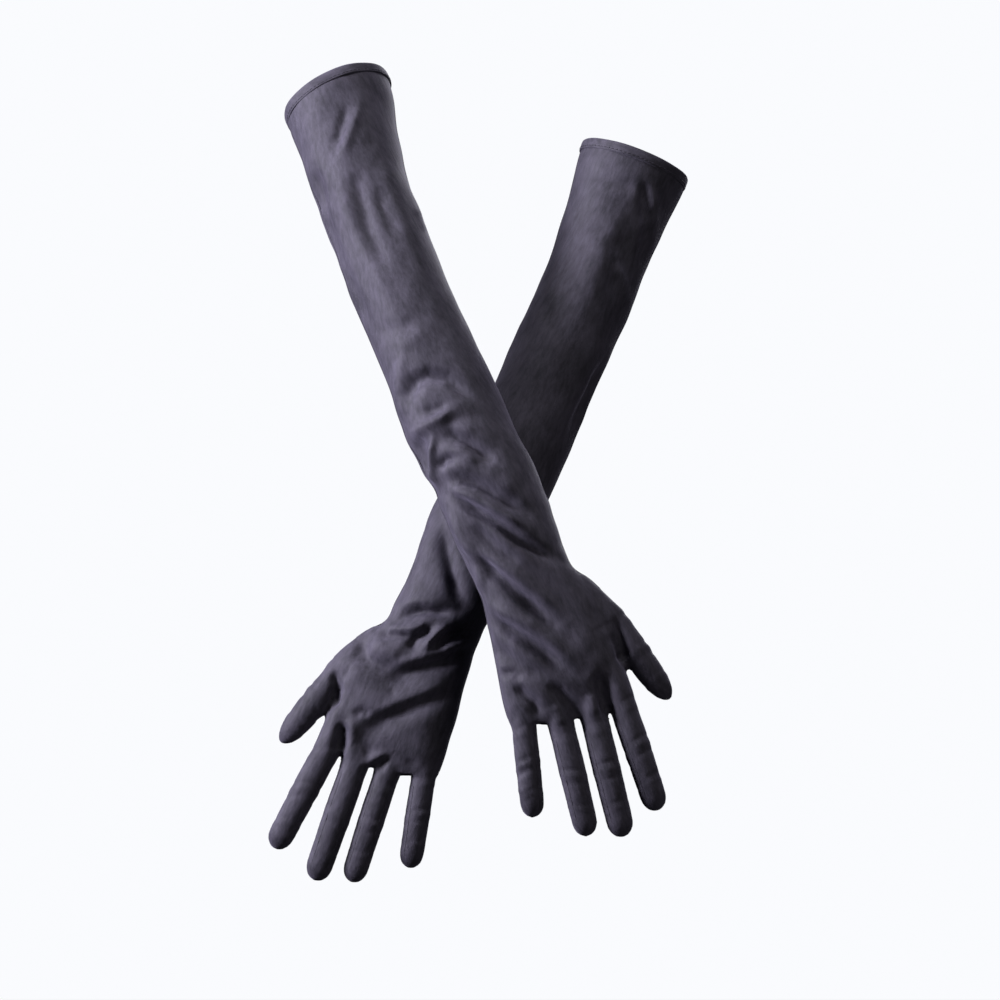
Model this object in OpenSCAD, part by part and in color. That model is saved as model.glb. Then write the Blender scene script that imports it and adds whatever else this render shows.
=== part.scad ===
// A pair of opera gloves in the shape they take when worn: sleeves crossed,
// backs of the hands towards -Y, fingers down, thumbs outwards.
// Frame: +Z up, millimetres, origin at the middle of the left cuff's mouth.

/* [Cloth] */
// Thickness of one layer of cloth with its seam ease
cloth = 0.8; // [0.6:0.1:1.2]
// Half of the width that a side seam takes, in degrees round the sleeve
seam_angle = 1.5; // [1:0.5:3]
// How far a seam or a line of stitching stands proud
seam_rise = 0.4; // [0.3:0.1:0.8]

/* [Cuff] */
// Inner radius of the round cuff, the size of the upper forearm
cuff_radius = 36; // [34:0.5:39]
// Height of the turned hem
hem_height = 7; // [5:0.5:10]
// Thickness of the turned hem, two layers of cloth
hem_thickness = 1.6; // [1.4:0.1:2]

/* [Sleeve] */
// Half-width of the sleeve a third of the way down
forearm_half_width = 32; // [31:0.5:36]
// Half-width where the slack gathers above the wrist
bag_half_width = 35; // [32:0.5:37]
// Half-depth of the sleeve at its middle
forearm_half_depth = 30; // [28:0.5:34]
// Length of the sleeve curve's handles
sleeve_handle = 100; // [80:5:120]

/* [Right glove] */
// Middle of the cuff's mouth, before the origin is set
right_cuff = [-95, 72, 523]; // [-120:1:560]
// Middle of the wrist, before the origin is set
right_wrist = [30, -44, 204]; // [-80:1:240]
// Lean of the cuff in degrees: sideways, then towards the front
right_cuff_lean = [26, 25]; // [0:1:30]
// Lean of the sleeve where it leaves the cuff: sideways, then towards the front
right_sleeve_lean = [10, 23]; // [0:1:30]
// Lean of the hand in degrees: sideways, then towards the front
right_hand_lean = [21, 5]; // [0:0.5:30]
// Turn of each digit towards the thumb's side: index, middle, ring, little, thumb
right_digit_turn = [0, 0, 1, 1, -2]; // [-10:0.5:10]

/* [Left glove] */
// Middle of the cuff's mouth, before the origin is set
left_cuff = [105, 76, 480]; // [-120:1:560]
// Middle of the wrist, before the origin is set
left_wrist = [-30, 18, 168]; // [-80:1:240]
// Lean of the cuff in degrees: sideways, then towards the front
left_cuff_lean = [21, 11]; // [0:1:30]
// Lean of the sleeve where it leaves the cuff: sideways, then towards the front
left_sleeve_lean = [18, 11]; // [0:1:30]
// Lean of the hand in degrees: sideways, then towards the front
left_hand_lean = [24.5, 5]; // [0:0.5:30]
// Turn of each digit towards the thumb's side: index, middle, ring, little, thumb
left_digit_turn = [6, 2, 2, 0, -2]; // [-10:0.5:10]

/* [Hand] */
// Half-depth of the hand at the wrist
wrist_half_depth = 21; // [20:0.5:24]
// Half-depth of the hand at the palm
palm_half_depth = 17; // [15:0.5:19]
// Half-depth of the hand at the knuckles
knuckle_half_depth = 12.5; // [12:0.5:14]
// Where the thumb's opening starts and ends, from the wrist
thumb_opening = [33, 82]; // [30:1:86]

/* [Digits] */
// Each base and tip is [distance to the thumb's side, distance from the wrist]
index_base = [30.5, 97]; // [-60:0.5:190]
// Tip of the index finger
index_tip = [27.5, 174]; // [-60:0.5:190]
// Half-width of the index finger
index_half_width = 9.8; // [9:0.1:10]
// Base of the middle finger
middle_base = [10, 100]; // [-60:0.5:190]
// Tip of the middle finger
middle_tip = [0, 182]; // [-60:0.5:190]
// Half-width of the middle finger
middle_half_width = 10; // [9:0.1:10]
// Base of the ring finger
ring_base = [-11.5, 98]; // [-60:0.5:190]
// Tip of the ring finger
ring_tip = [-22.5, 173]; // [-60:0.5:190]
// Half-width of the ring finger
ring_half_width = 9.5; // [9:0.1:10]
// Base of the little finger
little_base = [-34, 88]; // [-60:0.5:190]
// Tip of the little finger
little_tip = [-51, 149]; // [-60:0.5:190]
// Half-width of the little finger
little_half_width = 9; // [8:0.1:9.5]
// Base of the thumb
thumb_base = [42, 46]; // [-60:0.5:190]
// Tip of the thumb
thumb_tip = [63, 108]; // [-60:0.5:190]
// Half-width of the thumb
thumb_half_width = 11.5; // [10:0.1:12]
// How far along itself the thumb bends, past its joined base
thumb_joint = 26; // [22:1:30]
// Depth of a digit over its width
digit_flatness = 0.87; // [0.8:0.01:0.95]
// How much narrower a digit is at its tip
digit_taper = 0.1; // [0:0.01:0.25]
// How far a fingertip curls towards the palm
digit_curl = 9; // [0:1:14]

/* [Hidden] */

// The two gloves, and the five digits, as places in the tables below
RIGHT = 0;
LEFT = 1;
INDEX = 0;
MIDDLE = 1;
RING = 2;
LITTLE = 3;
THUMB = 4;

cuff_place = [right_cuff, left_cuff];
wrist_place = [right_wrist, left_wrist];
cuff_lean = [right_cuff_lean, left_cuff_lean];
sleeve_lean = [right_sleeve_lean, left_sleeve_lean];
hand_lean = [right_hand_lean, left_hand_lean];
digit_turn = [right_digit_turn, left_digit_turn];
origin = left_cuff;

base = [index_base, middle_base, ring_base, little_base, thumb_base];
tip = [index_tip, middle_tip, ring_tip, little_tip, thumb_tip];
half_width = [
    index_half_width, middle_half_width, ring_half_width,
    little_half_width, thumb_half_width
];

// Colours of the cloth, the turned hem and the thread
cloth_colour = [0.10, 0.10, 0.12];
fork_colour = [0.08, 0.08, 0.10];
hem_colour = [0.13, 0.13, 0.15];
thread_colour = [0.05, 0.05, 0.06];

// Angles round a digit where its back, forks and front meet
fork_edge = 48;
// Angles round the hand where the thumb's opening ends, back and palm
opening_back = 42;
opening_palm = 64;
// A sleeve ends and a hand begins this far above the wrist
sleeve_end_gap = 9.5;
hand_nest = 9;
// A digit begins this far inside the hand
digit_nest = 4;
// The joined base of the thumb stops this far short of its bend
thumb_setback = 5.8;
// The palm stops this far short of the knuckles, so that the digits can bend
palm_setback = 8.5;
// Length of a digit's rounded end
tip_round = 9.5;

// A hand's section is a little fuller than an ellipse
fullness = 0.8;

sleeve_rows = 18;
sleeve_columns = 10;
hand_columns = 13;
tip_angles = [22, 42, 60, 73, 82];

// How fast a heading runs sideways, forwards and down for a lean of two angles
function side(g) = g == RIGHT ? 1 : -1;
function unit(v) = v / norm(v);
function heading(g, lean) = [
    side(g) * sin(lean[0]) * cos(lean[1]),
    -sin(lean[1]),
    -cos(lean[0]) * cos(lean[1])
];
function across(v, along) = unit(v - (v * along) * along);

// Directions of a hand: along it, to its thumb's side, and out of its back
function hand_along(g) = heading(g, hand_lean[g]);
function to_thumb(g, along) = across([side(g), 0, 0], along);
function out_of_back(g, along) = side(g) * cross(along, to_thumb(g, along));

// A point of a hand from its place sideways, along and out of the back
function hand_place(g, x, u, n) =
    wrist_place[g] + u * hand_along(g) + x * to_thumb(g, hand_along(g))
    + n * out_of_back(g, hand_along(g));

// The sleeve's middle line is a cubic curve from the hem to the wrist
function hem_end(g) = cuff_place[g] + hem_height * heading(g, cuff_lean[g]);
function sleeve_poles(g) = [
    hem_end(g),
    hem_end(g) + sleeve_handle * heading(g, sleeve_lean[g]),
    wrist_place[g] - sleeve_handle * hand_along(g),
    wrist_place[g]
];
function curve(p, t) =
    pow(1 - t, 3) * p[0] + 3 * pow(1 - t, 2) * t * p[1]
    + 3 * (1 - t) * t * t * p[2] + pow(t, 3) * p[3];
function slope(p, t) = unit(
    pow(1 - t, 2) * (p[1] - p[0]) + 2 * (1 - t) * t * (p[2] - p[1])
    + t * t * (p[3] - p[2])
);

// The sleeve's sections turn from the cuff's heading to its own
cuff_share = 0.22;
function section_heading(g, t) =
    let (share = min(t / cuff_share, 1))
    unit(
        (1 - share) * heading(g, cuff_lean[g]) + share * slope(sleeve_poles(g), t)
    );

// Half-width and half-depth of the sleeve from the hem, 0, to the wrist, 1
cuff_wall = cuff_radius + hem_thickness / 2 + cloth / 2;
function sleeve_width(t) = lookup(t, [
    [0, cuff_wall], [0.1, cuff_wall - 3], [0.25, forearm_half_width],
    [0.55, forearm_half_width], [0.75, bag_half_width],
    [0.88, bag_half_width - 2], [1, 32]
]);
function sleeve_depth(t) = lookup(t, [
    [0, cuff_wall], [0.12, cuff_wall - 1.5], [0.35, forearm_half_depth + 1],
    [0.6, forearm_half_depth], [0.8, forearm_half_depth - 2],
    [1, wrist_half_depth + 2.5]
]);
function sleeve_point(g, t, angle, inset) =
    let (
        p = sleeve_poles(g),
        along = section_heading(g, t),
        w = (sleeve_width(t) - inset) * cos(angle),
        d = (sleeve_depth(t) - inset) * sin(angle)
    )
    curve(p, t) + w * to_thumb(g, along) + d * out_of_back(g, along);

// The last part of the curve is left out, to let the hand swing at the wrist
sleeve_end = 1 - sleeve_end_gap / (3 * sleeve_handle);

// Edges and half-depth of the hand at a distance from the wrist
function thumb_edge(u) = lookup(u, [
    [0, 30.5], [15, 36], [30, 41], [45, 43.5], [60, 43], [80, 42], [100, 42.5]
]);
function little_edge(u) = lookup(u, [
    [0, 30], [25, 34], [50, 38.5], [75, 42.5], [88, 44.5], [100, 44]
]);
function hand_depth(u) = lookup(u, [
    [0, wrist_half_depth], [25, palm_half_depth + 2], [60, palm_half_depth],
    [100, knuckle_half_depth]
]);
// The knuckle line, from the little finger's side to the thumb's
function knuckles(x) = lookup(x, [
    [-43, 84], [-32, 88], [-22, 94], [-11, 98], [10, 100], [30, 97], [43, 93]
]);

// Roundness of a hand's section, kept to the sign of the sine or cosine
function full(v) = sign(v) * pow(abs(v), fullness);
// Inside the sleeve the hand's end is round about the wrist's axis
function nest(distance, radius) =
    distance < 0 ? sqrt(1 - pow(distance / radius, 2)) : 1;
function hand_point(g, u, angle, inset) =
    let (
        r = thumb_edge(u),
        l = little_edge(u),
        s = nest(u, wrist_half_depth),
        x = (r - l) / 2 + ((r + l) / 2 * s - inset) * full(cos(angle)),
        n = (hand_depth(u) * s - inset) * full(sin(angle))
    )
    hand_place(g, x, u, n);

// Sideways place of a hand's point where it meets the knuckle line
function hand_reach(angle, setback) =
    knuckles(42.5 * full(cos(angle))) - setback;

// Rows of a hand: inside the sleeve, then down to the knuckles
hand_steps = [
    0, 0.09, 0.18, 0.26, 0.34, 0.345, 0.5, 0.65, 0.79, 0.795, 0.85, 0.93, 1
];
function hand_distance(step, angle, setback) =
    let (reach = hand_reach(angle, setback))
    -hand_nest + step * (reach + hand_nest);

// A digit: its length, its heading in the hand, and its point at a distance
function digit_length(k) = norm(tip[k] - base[k]);
function digit_heading(g, k) =
    let (
        h = (tip[k] - base[k]) / digit_length(k),
        c = cos(digit_turn[g][k]),
        s = sin(digit_turn[g][k])
    )
    [h[0] * c + h[1] * s, h[1] * c - h[0] * s];
function digit_bend(k) = k == THUMB ? thumb_joint : 0;
function digit_stations(k) =
    let (bend = digit_bend(k), straight = digit_length(k) - tip_round)
    concat(
        [bend - digit_nest, bend - digit_nest / 2],
        [for (i = [0 : 5]) bend + (straight - bend) * i / 5],
        [for (a = tip_angles) straight + tip_round * sin(a)]
    );
function digit_round(k, s) =
    let (past = (s - digit_length(k) + tip_round) / tip_round)
    past > 0 ? sqrt(1 - past * past) : 1;
function digit_point(g, k, s, angle, inset, socket = 1) =
    let (
        h = digit_heading(g, k),
        share = s / digit_length(k),
        w = half_width[k] * (1 - digit_taper * max(share, 0))
            * socket * digit_round(k, s),
        past = max(0, (s - digit_length(k) + tip_round) / tip_round),
        reach = s - inset * past,
        lateral = (w - inset) * cos(angle),
        n = (w * digit_flatness - inset) * sin(angle)
            - digit_curl * pow(max(share, 0), 2)
    )
    hand_place(
        g,
        base[k][0] + reach * h[0] + lateral * h[1],
        base[k][1] + reach * h[1] - lateral * h[0],
        n
    );

// Even steps from one angle to another
function steps(from, to, count) =
    [for (i = [0 : count - 1]) from + (to - from) * i / (count - 1)];

// Two triangles between four corners
function quad(a, b, c, d) = [[a, b, c], [a, c, d]];

// A closed layer of cloth between an outer and an inner grid of points
module layer(outer, inner, turned) {
    rows = len(outer);
    columns = len(outer[0]);
    all = rows * columns;
    last = all - columns;
    points = concat([for (row = outer) each row], [for (row = inner) each row]);
    skin = [
        for (i = [0 : rows - 2], j = [0 : columns - 2])
            let (a = i * columns + j)
            each concat(
                quad(a, a + 1, a + columns + 1, a + columns),
                quad(all + a + columns, all + a + columns + 1, all + a + 1, all + a)
            )
    ];
    sides = [
        for (i = [0 : rows - 2])
            let (a = i * columns, b = a + columns - 1)
            each concat(
                quad(a, a + columns, all + a + columns, all + a),
                quad(b + columns, b, all + b, all + b + columns)
            )
    ];
    ends = [
        for (j = [0 : columns - 2])
            each concat(
                quad(j + 1, j, all + j, all + j + 1),
                quad(last + j, last + j + 1, all + last + j + 1, all + last + j)
            )
    ];
    faces = concat(skin, sides, ends);
    polyhedron(
        points,
        turned ? [for (f = faces) [f[2], f[1], f[0]]] : faces,
        convexity = 10
    );
}

// Everything is drawn about the left cuff's mouth
module placed() {
    translate(-origin) children();
}

module sleeve_part(g, from, to, columns, rise) {
    rows = steps(0, sleeve_end, sleeve_rows);
    angles = steps(from, to, columns);
    placed()
        layer(
            [for (t = rows) [for (a = angles) sleeve_point(g, t, a, -rise)]],
            [for (t = rows) [for (a = angles) sleeve_point(g, t, a, cloth)]],
            g == LEFT
        );
}

module sleeve_back(g) {
    color(cloth_colour)
        sleeve_part(g, seam_angle, 180 - seam_angle, sleeve_columns, 0);
}

module sleeve_underside(g) {
    color(cloth_colour)
        sleeve_part(g, 180 + seam_angle, 360 - seam_angle, sleeve_columns, 0);
}

// The seam below the thumb
module inner_seam(g) {
    color(thread_colour)
        sleeve_part(g, -seam_angle, seam_angle, 2, seam_rise);
}

// The seam below the little finger
module outer_seam(g) {
    color(thread_colour)
        sleeve_part(g, 180 - seam_angle, 180 + seam_angle, 2, seam_rise);
}

// A round band about the cuff's axis, measured down from the mouth
module cuff_band(g, inner, thickness, from, height) {
    d = heading(g, cuff_lean[g]);
    tilt = acos(d[2]);
    turn = atan2(d[1], d[0]);
    placed()
        translate(cuff_place[g])
            rotate([0, tilt, turn])
                rotate_extrude($fn = 96)
                    translate([inner, from])
                        square([thickness, height]);
}

module cuff_hem(g) {
    color(hem_colour)
        cuff_band(g, cuff_radius, hem_thickness, 0, hem_height);
}

// The line of stitches that holds the hem
module hem_stitching(g) {
    color(thread_colour)
        cuff_band(g, cuff_radius + hem_thickness, seam_rise, hem_height - 1.5, 0.8);
}

// One layer of the hand, with the thumb's opening at the end given by notch
module hand_part(g, from, to, setback, notch, at_start) {
    angles_at = [
        for (step = hand_steps)
            let (
                u = hand_distance(step, at_start ? from : to, setback),
                open = u > thumb_opening[0] && u < thumb_opening[1],
                a = at_start && open ? notch : from,
                b = !at_start && open ? notch : to
            )
            steps(a, b, hand_columns)
    ];
    function grid(inset) = [
        for (i = [0 : len(hand_steps) - 1]) [
            for (a = angles_at[i])
                hand_point(g, hand_distance(hand_steps[i], a, setback), a, inset)
        ]
    ];
    placed() layer(grid(0), grid(cloth), g == LEFT);
}

module hand_back(g) {
    color(cloth_colour)
        hand_part(g, 0.4, 179.6, 0.5, opening_back, true);
}

module hand_palm(g) {
    color(cloth_colour)
        hand_part(g, 180.4, 359.6, palm_setback, 360 - opening_palm, false);
}

// A strip of a digit between two angles, with its end round about its bend
module digit_part(g, k, from, to, columns, rise) {
    radius = half_width[k] * digit_flatness * 0.9;
    rows = [for (s = digit_stations(k)) [s, nest(s - digit_bend(k), radius)]];
    angles = steps(from, to, columns);
    function grid(inset) = [
        for (r = rows) [for (a = angles) digit_point(g, k, r[0], a, inset, r[1])]
    ];
    placed() layer(grid(-rise), grid(cloth), g == LEFT);
}

// The fork lies on the thumb's side, on the other side, or on both
module finger_back(g, k, inner_fork, outer_fork) {
    color(cloth_colour)
        digit_part(
            g, k, inner_fork ? fork_edge : 0, 180 - (outer_fork ? fork_edge : 0), 6, 0
        );
}

module finger_front(g, k, inner_fork, outer_fork) {
    color(cloth_colour)
        digit_part(
            g, k, 180 + (outer_fork ? fork_edge : 0), 360 - (inner_fork ? fork_edge : 0),
            6, 0
        );
}

module inner_fork(g, k) {
    color(fork_colour) digit_part(g, k, -fork_edge, fork_edge, 5, 0);
}

module outer_fork(g, k) {
    color(fork_colour) digit_part(g, k, 180 - fork_edge, 180 + fork_edge, 5, 0);
}

// The thumb's base is joined to the hand and doesn't bend
module thumb_base_part(g) {
    rows = steps(1, thumb_joint - thumb_setback, 5);
    angles = steps(184, 536, 17);
    function grid(inset) = [
        for (s = rows) [for (a = angles) digit_point(g, THUMB, s, a, inset)]
    ];
    color(cloth_colour) placed() layer(grid(0), grid(cloth), g == LEFT);
}

// The thumb is one piece of cloth, closed by a seam on its inner side
module thumb(g) {
    color(cloth_colour) digit_part(g, THUMB, 184, 536, 17, 0);
}

module thumb_seam(g) {
    color(thread_colour) digit_part(g, THUMB, 176, 184, 2, seam_rise / 2);
}

sleeve_back(RIGHT);  // right_sleeve_back
sleeve_underside(RIGHT);  // right_sleeve_underside
cuff_hem(RIGHT);  // right_cuff_hem
hem_stitching(RIGHT);  // right_hem_stitching
inner_seam(RIGHT);  // right_inner_seam
outer_seam(RIGHT);  // right_outer_seam
hand_back(RIGHT);  // right_hand_back
hand_palm(RIGHT);  // right_hand_palm
thumb_base_part(RIGHT);  // right_thumb_base
thumb(RIGHT);  // right_thumb
thumb_seam(RIGHT);  // right_thumb_seam
finger_back(RIGHT, INDEX, false, true);  // right_index_back
finger_front(RIGHT, INDEX, false, true);  // right_index_front
outer_fork(RIGHT, INDEX);  // right_index_fork
finger_back(RIGHT, MIDDLE, true, true);  // right_middle_back
finger_front(RIGHT, MIDDLE, true, true);  // right_middle_front
inner_fork(RIGHT, MIDDLE);  // right_middle_inner_fork
outer_fork(RIGHT, MIDDLE);  // right_middle_outer_fork
finger_back(RIGHT, RING, true, true);  // right_ring_back
finger_front(RIGHT, RING, true, true);  // right_ring_front
inner_fork(RIGHT, RING);  // right_ring_inner_fork
outer_fork(RIGHT, RING);  // right_ring_outer_fork
finger_back(RIGHT, LITTLE, true, false);  // right_little_back
finger_front(RIGHT, LITTLE, true, false);  // right_little_front
inner_fork(RIGHT, LITTLE);  // right_little_fork
sleeve_back(LEFT);  // left_sleeve_back
sleeve_underside(LEFT);  // left_sleeve_underside
cuff_hem(LEFT);  // left_cuff_hem
hem_stitching(LEFT);  // left_hem_stitching
inner_seam(LEFT);  // left_inner_seam
outer_seam(LEFT);  // left_outer_seam
hand_back(LEFT);  // left_hand_back
hand_palm(LEFT);  // left_hand_palm
thumb_base_part(LEFT);  // left_thumb_base
thumb(LEFT);  // left_thumb
thumb_seam(LEFT);  // left_thumb_seam
finger_back(LEFT, INDEX, false, true);  // left_index_back
finger_front(LEFT, INDEX, false, true);  // left_index_front
outer_fork(LEFT, INDEX);  // left_index_fork
finger_back(LEFT, MIDDLE, true, true);  // left_middle_back
finger_front(LEFT, MIDDLE, true, true);  // left_middle_front
inner_fork(LEFT, MIDDLE);  // left_middle_inner_fork
outer_fork(LEFT, MIDDLE);  // left_middle_outer_fork
finger_back(LEFT, RING, true, true);  // left_ring_back
finger_front(LEFT, RING, true, true);  // left_ring_front
inner_fork(LEFT, RING);  // left_ring_inner_fork
outer_fork(LEFT, RING);  // left_ring_outer_fork
finger_back(LEFT, LITTLE, true, false);  // left_little_back
finger_front(LEFT, LITTLE, true, false);  // left_little_front
inner_fork(LEFT, LITTLE);  // left_little_fork
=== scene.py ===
"""Opera gloves: the cloth, seams, hems and stitches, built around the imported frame. Metres."""
import math

import bmesh
import bpy
import numpy as np
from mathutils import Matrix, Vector
from mathutils.bvhtree import BVHTree


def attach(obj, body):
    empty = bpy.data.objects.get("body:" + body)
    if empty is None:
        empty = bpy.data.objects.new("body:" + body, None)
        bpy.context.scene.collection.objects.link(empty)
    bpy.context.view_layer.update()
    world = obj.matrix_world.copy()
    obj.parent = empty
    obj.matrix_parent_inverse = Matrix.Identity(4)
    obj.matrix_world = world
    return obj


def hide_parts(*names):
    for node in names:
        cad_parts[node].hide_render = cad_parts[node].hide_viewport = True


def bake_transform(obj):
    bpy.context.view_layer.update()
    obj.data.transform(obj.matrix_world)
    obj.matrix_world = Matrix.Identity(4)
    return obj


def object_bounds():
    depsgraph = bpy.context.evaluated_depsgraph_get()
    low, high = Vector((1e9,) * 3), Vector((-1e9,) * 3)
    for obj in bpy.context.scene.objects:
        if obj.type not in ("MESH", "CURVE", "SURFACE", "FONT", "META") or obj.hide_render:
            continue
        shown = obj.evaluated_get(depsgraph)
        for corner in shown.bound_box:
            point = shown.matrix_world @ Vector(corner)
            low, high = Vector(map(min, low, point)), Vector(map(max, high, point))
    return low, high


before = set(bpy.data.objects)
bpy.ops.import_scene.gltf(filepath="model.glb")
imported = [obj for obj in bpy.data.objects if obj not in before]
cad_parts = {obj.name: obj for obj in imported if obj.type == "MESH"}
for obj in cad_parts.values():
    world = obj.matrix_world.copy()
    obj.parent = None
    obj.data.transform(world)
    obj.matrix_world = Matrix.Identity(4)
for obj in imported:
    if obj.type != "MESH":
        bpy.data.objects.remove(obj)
cad_box = [list(corner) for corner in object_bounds()]
MM = 0.001

# ---- sizes shared with the CAD model, millimetres ----
ORIGIN = np.array([105.0, 76.0, 480.0])
CUFF_RADIUS = 36.0
HEM_HEIGHT = 7.0
HEM_THICKNESS = 1.6
CLOTH = 0.6
SLEEVE_HANDLE = 100.0
CUFF_SHARE = 0.22
DIGIT_FLATNESS = 0.87
DIGIT_CURL = 9.0
# Each digit: base and tip as (towards the thumb's side, from the wrist), half-width
DIGITS = {
    "index": ((30.5, 97.0), (27.5, 174.0), 9.8),
    "middle": ((10.0, 100.0), (0.0, 182.0), 10.0),
    "ring": ((-11.5, 98.0), (-22.5, 173.0), 9.5),
    "little": ((-34.0, 88.0), (-51.0, 149.0), 9.0),
    "thumb": ((42.0, 46.0), (63.0, 108.0), 11.5),
}
# Edges and half-depth of the hand along it, and the knuckle line across it
THUMB_EDGE = ((-60, 0, 15, 30, 45, 60, 80, 100), (33, 30.5, 35, 40, 42, 41.5, 40.5, 39))
LITTLE_EDGE = ((-60, 0, 25, 50, 75, 88, 100), (33, 30, 34, 38.5, 42.5, 43.5, 42))
HAND_DEPTH = ((0, 25, 60, 78, 90, 100), (20.5, 18, 16.2, 13.5, 9.5, 5.5))
KNUCKLES = ((-43, -32, -22, -11, 10, 30, 43), (86, 91, 96, 99, 101, 99, 94))
KNUCKLE_REACH = 42
# Half-width and half-depth of the sleeve, from the hem, 0, to the wrist, 1
SLEEVE_WIDTH = (
    (-0.1, 0, 0.03, 0.09, 0.2, 0.35, 0.55, 0.7, 0.8, 0.9, 1),
    (36.9, 36.9, 36.0, 33.6, 31.2, 31.4, 31.9, 33.4, 34.2, 32.8, 30.4),
)
SLEEVE_DEPTH = (
    (-0.1, 0, 0.03, 0.09, 0.35, 0.6, 0.8, 1),
    (36.9, 36.9, 36.2, 34.4, 31.2, 30, 28, 21),
)


def unit(v):
    return v / np.linalg.norm(v)


def ramp(x, low, high):
    """0 below low, 1 above high, smooth between."""
    t = np.clip((x - low) / (high - low), 0, 1)
    return t * t * (3 - 2 * t)


class Glove:
    """One glove's directions and curves, in millimetres about the CAD origin."""

    def __init__(self, name, side, cuff, wrist, cuff_lean, sleeve_lean, hand_lean, digit_turn):
        self.name, self.side = name, side
        self.turn = dict(zip(DIGITS, np.radians(digit_turn)))
        self.down = self.heading(cuff_lean)
        self.along = self.heading(hand_lean)
        self.cuff = np.array(cuff, float) - ORIGIN
        self.wrist = np.array(wrist, float) - ORIGIN
        hem_end = self.cuff + HEM_HEIGHT * self.down
        self.poles = (
            hem_end,
            hem_end + SLEEVE_HANDLE * self.heading(sleeve_lean),
            self.wrist - SLEEVE_HANDLE * self.along,
            self.wrist,
        )
        self.lateral = self.to_thumb(self.along)
        self.out = self.side * np.cross(self.along, self.lateral)

    def heading(self, lean):
        sideways, forwards = np.radians(lean)
        return np.array([
            self.side * math.sin(sideways) * math.cos(forwards),
            -math.sin(forwards),
            -math.cos(sideways) * math.cos(forwards),
        ])

    def to_thumb(self, along):
        x = np.array([self.side, 0.0, 0.0])
        return unit(x - (x @ along) * along)

    def hand_place(self, x, u, n):
        x, u, n = np.broadcast_arrays(x, u, n)
        return (
            self.wrist + x[..., None] * self.lateral
            + u[..., None] * self.along + n[..., None] * self.out
        )

    def centre(self, t):
        if t < 0:
            return self.poles[0] + 3 * t * SLEEVE_HANDLE * self.down
        s = 1 - t
        a, b, c, d = self.poles
        return s ** 3 * a + 3 * s * s * t * b + 3 * s * t * t * c + t ** 3 * d

    def slope(self, t):
        t = max(t, 0.0)
        s = 1 - t
        a, b, c, d = self.poles
        return unit(s * s * (b - a) + 2 * s * t * (c - b) + t * t * (d - c))

    def section(self, t):
        """The heading of the sleeve's section, which turns from the cuff's to its own."""
        share = np.clip(t / CUFF_SHARE, 0, 1)
        return unit((1 - share) * self.down + share * self.slope(t))

    def digit_axis(self, name, s):
        """Middle line of a digit at distances s along it, and its sideways direction."""
        base, tip, _ = DIGITS[name]
        base, tip = np.array(base), np.array(tip)
        length = np.linalg.norm(tip - base)
        straight = (tip - base) / length
        cos, sin = math.cos(self.turn[name]), math.sin(self.turn[name])
        h = np.array([straight[0] * cos + straight[1] * sin, straight[1] * cos - straight[0] * sin])
        n = -DIGIT_CURL * np.clip(s / length, 0, None) ** 2
        inside, outside = np.minimum(s, 0), np.maximum(s, 0)
        x = base[0] + inside * straight[0] + outside * h[0]
        u = base[1] + inside * straight[1] + outside * h[1]
        return self.hand_place(x, u, n), h[1] * self.lateral - h[0] * self.along, length


GLOVES = [
    Glove(
        "right", 1, (-95, 72, 523), (30, -44, 204), (26, 25), (10, 23), (21, 5),
        (0, 0, 1, 1, -2),
    ),
    Glove(
        "left", -1, (105, 76, 480), (-30, 18, 168), (21, 11), (18, 11), (24.5, 5),
        (6, 2, 2, 0, -2),
    ),
]

# ---- camera: level, from the front ----
PICTURE_WIDTH = 658.0
CAMERA_DISTANCE = 6000.0
LENS_SENSOR = 36.0
LOOK_AT = np.array([14.5, 0.0, 254.0]) - ORIGIN

camera_data = bpy.data.cameras.new("camera")
camera_data.sensor_width = LENS_SENSOR
camera_data.lens = LENS_SENSOR * CAMERA_DISTANCE / PICTURE_WIDTH
camera = bpy.data.objects.new("camera", camera_data)
camera.location = Vector((LOOK_AT[0], -ORIGIN[1] - CAMERA_DISTANCE, LOOK_AT[2])) * MM
camera.rotation_euler = (math.pi / 2, 0, 0)
bpy.context.collection.objects.link(camera)
bpy.context.scene.camera = camera

# ---- the filled shape of a glove: a sleeve and hand, and five digits ----
RING, DIGIT_RING = 56, 32
SLEEVE_STEPS, HAND_STEPS, DIGIT_STEPS = 60, 36, 22
REMESH_SIZE = 1.35
SMOOTH_ROUNDS = 9
# How far the sleeve runs on above its mouth, before it is cut there
MOUTH_OVERRUN = 12.0
SQUARENESS = 0.8


def tube(rings):
    """A closed mesh from rings of points, with a fan at each end."""
    rings = np.array(rings)
    count, around = rings.shape[:2]
    points = rings.reshape(-1, 3)
    faces = []
    for i in range(count - 1):
        for j in range(around):
            k = (j + 1) % around
            faces.append((i * around + j, i * around + k, (i + 1) * around + k, (i + 1) * around + j))
    ends = np.array([rings[0].mean(0), rings[-1].mean(0)])
    first, last = len(points), len(points) + 1
    for j in range(around):
        k = (j + 1) % around
        faces.append((first, k, j))
        faces.append((last, (count - 1) * around + j, (count - 1) * around + k))
    return np.vstack([points, ends]), faces


def stacked(solids):
    """The points and faces of several solids as one pair."""
    points, faces, shift = [], [], 0
    for p, f in solids:
        points.append(p)
        faces += [tuple(i + shift for i in face) for face in f]
        shift += len(p)
    return np.vstack(points), faces


def fuller(v):
    """A sine or cosine pushed outwards, which makes a section squarer than an ellipse."""
    return np.sign(v) * np.abs(v) ** SQUARENESS


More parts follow.
